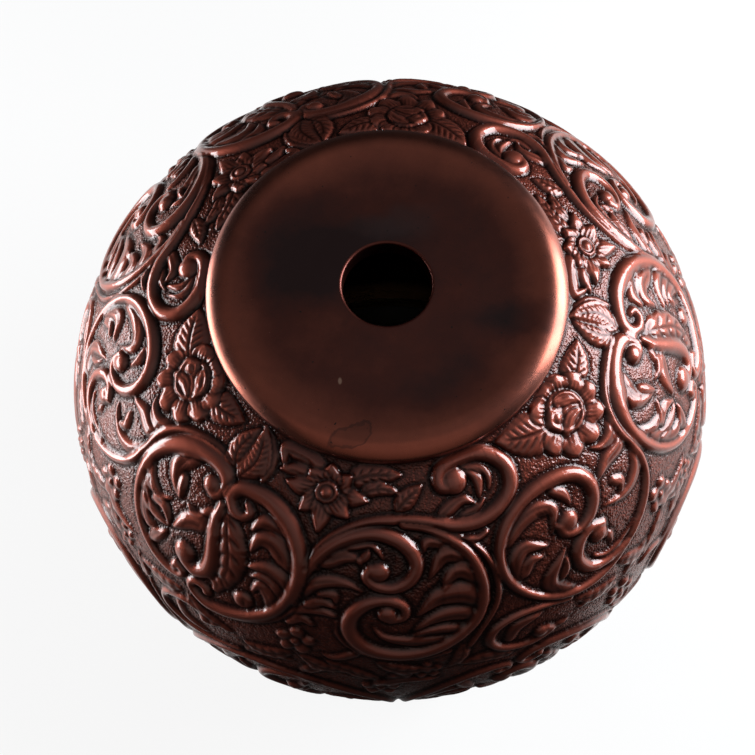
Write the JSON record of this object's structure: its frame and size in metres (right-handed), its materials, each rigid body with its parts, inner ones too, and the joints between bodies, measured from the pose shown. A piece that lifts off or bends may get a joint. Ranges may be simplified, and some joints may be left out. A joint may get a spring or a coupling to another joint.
{
  "type": "darbuka",
  "caption": "Hand drum with an embossed copper globe body, a smooth base with a round sound hole, and a bolt-tuned head on a collar.",
  "frame": {"origin": "middle of the head's outer face, on the floor that the drum stands on, head down", "axes": "+Z is the drum's axis, from the head up to the base; +X is to the right in the picture's view"},
  "size_m": [0.3, 0.3, 0.2627],
  "materials": {
    "embossed_copper": "antique copper, dark patina in the hollows",
    "smooth_copper": "antique copper, lacquered and smooth",
    "turned_brass": "turned",
    "head_film": "milky synthetic film",
    "hoop_aluminium": "satin",
    "ring_steel": "satin nickel",
    "bolt_steel": "zinc plated"
  },
  "bodies": {
    "drum": {"belly_shell": "embossed_copper", "base_dish": "smooth_copper", "sound_hole_collar": "smooth_copper", "head_collar": "smooth_copper", "bearing_ring": "turned_brass", "drum_head": "head_film", "anchor_ring": "ring_steel", "bolt_washers": "bolt_steel"},
    "tension": {"tension_ring": "ring_steel", "flesh_hoop": "hoop_aluminium"},
    "bolt_1": {"tuning_bolt_1": "bolt_steel"},
    "bolt_2": {"tuning_bolt_2": "bolt_steel"},
    "bolt_3": {"tuning_bolt_3": "bolt_steel"},
    "bolt_4": {"tuning_bolt_4": "bolt_steel"},
    "bolt_5": {"tuning_bolt_5": "bolt_steel"},
    "bolt_6": {"tuning_bolt_6": "bolt_steel"},
    "bolt_7": {"tuning_bolt_7": "bolt_steel"},
    "bolt_8": {"tuning_bolt_8": "bolt_steel"}
  },
  "joints": [
    {"name": "ring_slide", "type": "slide", "parent": "drum", "child": "tension", "axis": [0, 0, 1], "range_m": [-0.0015, 0.0015]},
    {"name": "bolt_turn_1", "type": "hinge", "parent": "drum", "child": "bolt_1", "pos_m": [0.11502, 0.04764, 0.0434], "axis": [0, 0, 1], "range_deg": [-545, 545]},
    {"name": "bolt_turn_2", "type": "hinge", "parent": "drum", "child": "bolt_2", "pos_m": [0.04764, 0.11502, 0.0434], "axis": [0, 0, 1], "range_deg": [-545, 545]},
    {"name": "bolt_turn_3", "type": "hinge", "parent": "drum", "child": "bolt_3", "pos_m": [-0.04764, 0.11502, 0.0434], "axis": [0, 0, 1], "range_deg": [-545, 545]},
    {"name": "bolt_turn_4", "type": "hinge", "parent": "drum", "child": "bolt_4", "pos_m": [-0.11502, 0.04764, 0.0434], "axis": [0, 0, 1], "range_deg": [-545, 545]},
    {"name": "bolt_turn_5", "type": "hinge", "parent": "drum", "child": "bolt_5", "pos_m": [-0.11502, -0.04764, 0.0434], "axis": [0, 0, 1], "range_deg": [-545, 545]},
    {"name": "bolt_turn_6", "type": "hinge", "parent": "drum", "child": "bolt_6", "pos_m": [-0.04764, -0.11502, 0.0434], "axis": [0, 0, 1], "range_deg": [-545, 545]},
    {"name": "bolt_turn_7", "type": "hinge", "parent": "drum", "child": "bolt_7", "pos_m": [0.04764, -0.11502, 0.0434], "axis": [0, 0, 1], "range_deg": [-545, 545]},
    {"name": "bolt_turn_8", "type": "hinge", "parent": "drum", "child": "bolt_8", "pos_m": [0.11502, -0.04764, 0.0434], "axis": [0, 0, 1], "range_deg": [-545, 545]}
  ],
  "couplings": [
    {"joint": "bolt_turn_1", "follows": "ring_slide", "rad_per_m": -6283.2},
    {"joint": "bolt_turn_2", "follows": "ring_slide", "rad_per_m": -6283.2},
    {"joint": "bolt_turn_3", "follows": "ring_slide", "rad_per_m": -6283.2},
    {"joint": "bolt_turn_4", "follows": "ring_slide", "rad_per_m": -6283.2},
    {"joint": "bolt_turn_5", "follows": "ring_slide", "rad_per_m": -6283.2},
    {"joint": "bolt_turn_6", "follows": "ring_slide", "rad_per_m": -6283.2},
    {"joint": "bolt_turn_7", "follows": "ring_slide", "rad_per_m": -6283.2},
    {"joint": "bolt_turn_8", "follows": "ring_slide", "rad_per_m": -6283.2}
  ]
}
